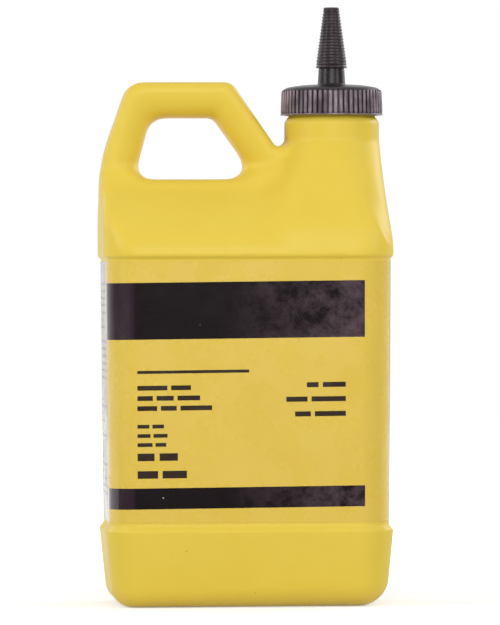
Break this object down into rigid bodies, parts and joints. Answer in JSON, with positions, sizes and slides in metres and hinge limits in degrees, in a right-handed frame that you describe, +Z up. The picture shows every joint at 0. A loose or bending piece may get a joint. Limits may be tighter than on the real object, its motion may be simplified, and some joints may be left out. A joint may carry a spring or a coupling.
{
  "type": "marking chalk bottle",
  "caption": "Refill bottle of marking chalk: a blow-moulded jug with a through handle, a recessed wrap label, and a screw cap with a pouring spout and a pull-off cover.",
  "frame": {"origin": "middle of the foot, on the surface the bottle stands on", "axes": "+Z up through the bottle's height, +X from the handle towards the neck, +Y from the front panel towards the back"},
  "size_m": [0.1164, 0.076, 0.2405],
  "materials": {
    "bottle_hdpe": "satin",
    "label_film": "gloss",
    "chalk_powder": "matte",
    "liner_foam": "matte",
    "cap_plastic": "satin",
    "cover_plastic": "satin"
  },
  "bodies": {
    "bottle": {"bottle": "bottle_hdpe", "label_wrap": "label_film", "chalk_fill": "chalk_powder"},
    "liner": {"cap_liner": "liner_foam"},
    "cap": {"spout_cap": "cap_plastic"},
    "cover": {"tip_cover": "cover_plastic"}
  },
  "joints": [
    {"name": "cap_rise", "type": "slide", "parent": "bottle", "child": "liner", "axis": [0, 0, 1], "range_m": [0, 0.0096]},
    {"name": "cap_turn", "type": "hinge", "parent": "liner", "child": "cap", "pos_m": [0.0355, 0, 0.2], "axis": [0, 0, 1], "range_deg": [0, 810]},
    {"name": "tip_pull", "type": "slide", "parent": "cap", "child": "cover", "axis": [0, 0, 1], "range_m": [0, 0.03]}
  ],
  "couplings": [
    {"joint": "cap_rise", "follows": "cap_turn", "m_per_rad": 0.00067375}
  ]
}
